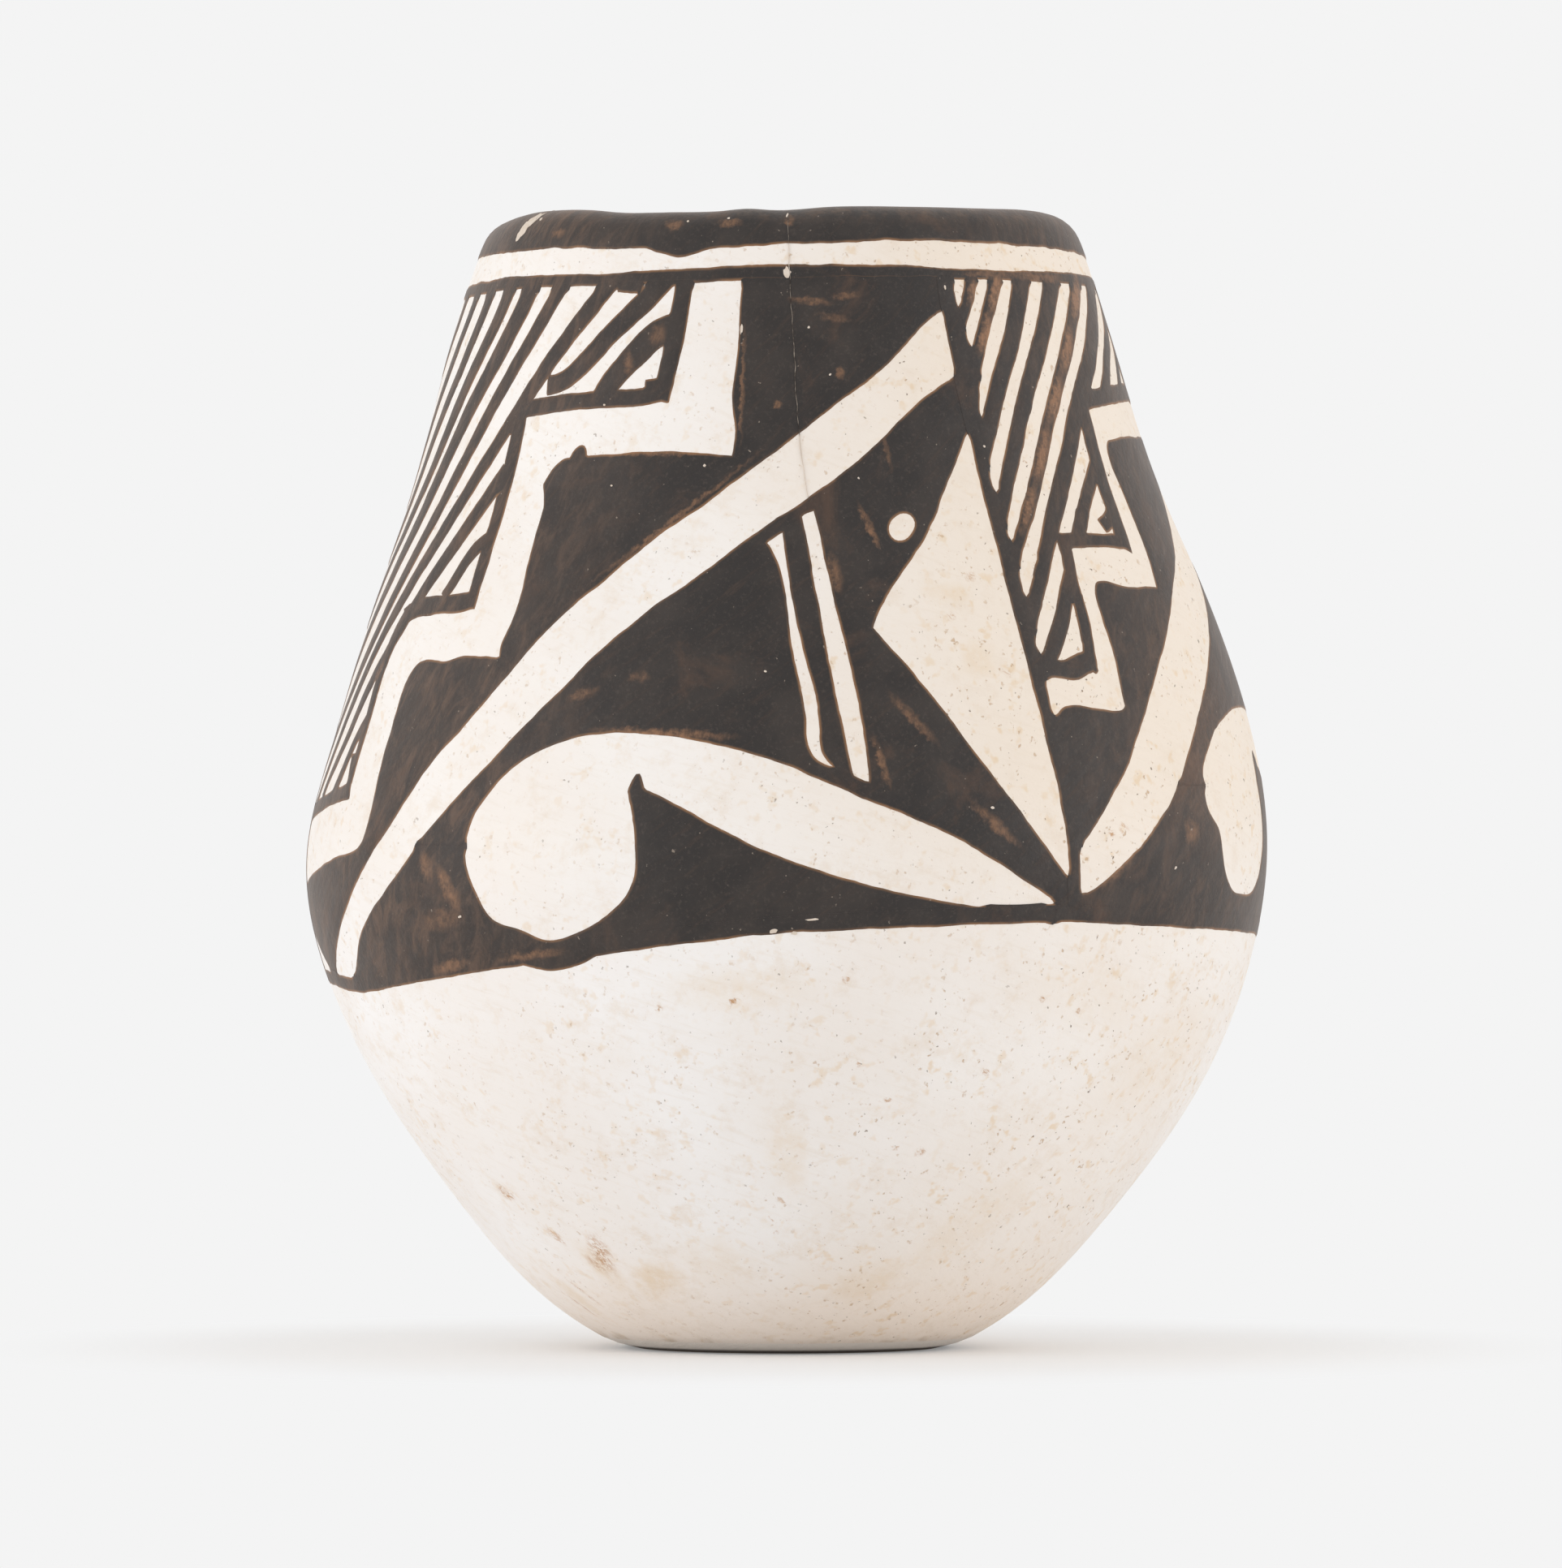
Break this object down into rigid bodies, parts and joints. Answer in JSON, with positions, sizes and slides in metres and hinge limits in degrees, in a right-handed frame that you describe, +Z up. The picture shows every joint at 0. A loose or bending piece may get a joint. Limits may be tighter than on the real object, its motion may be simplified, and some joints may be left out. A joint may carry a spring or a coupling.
{
  "type": "pottery jar",
  "caption": "Small round-bellied coiled pottery jar with a narrow flat foot and an open mouth, coated in white slip and painted in black with stairs, hatching and curved bands.",
  "frame": {"origin": "centre of the flat foot, on the surface that the jar stands on", "axes": "+Z up along the jar's axis, the front of the painted design faces -Y"},
  "size_m": [0.0592, 0.0592, 0.0692],
  "materials": {
    "clay": "matte, scraped fired clay",
    "slip": "matte stone-rubbed white slip",
    "paint": "matte mineral black, brown where thin"
  },
  "bodies": {
    "root": {"base_pat": "clay", "belly_coil": "clay", "bird_field_front": "paint", "bird_field_left": "paint", "bird_field_right": "paint", "divider_front": "paint", "divider_left": "paint", "divider_right": "paint", "foot_coil": "clay", "ground_field_front": "paint", "ground_field_left": "paint", "ground_field_right": "paint", "hatching_front": "paint", "hatching_left": "paint", "hatching_right": "paint", "lower_coil": "clay", "lower_line_front": "paint", "lower_line_left": "paint", "lower_line_right": "paint", "neck_coil": "clay", "rim_band": "paint", "rim_coil": "clay", "shoulder_coil": "clay", "slip_coat": "slip", "stair_field_front": "paint", "stair_field_left": "paint", "stair_field_right": "paint", "upper_line": "paint", "upper_shoulder_coil": "clay"}
  },
  "joints": []
}
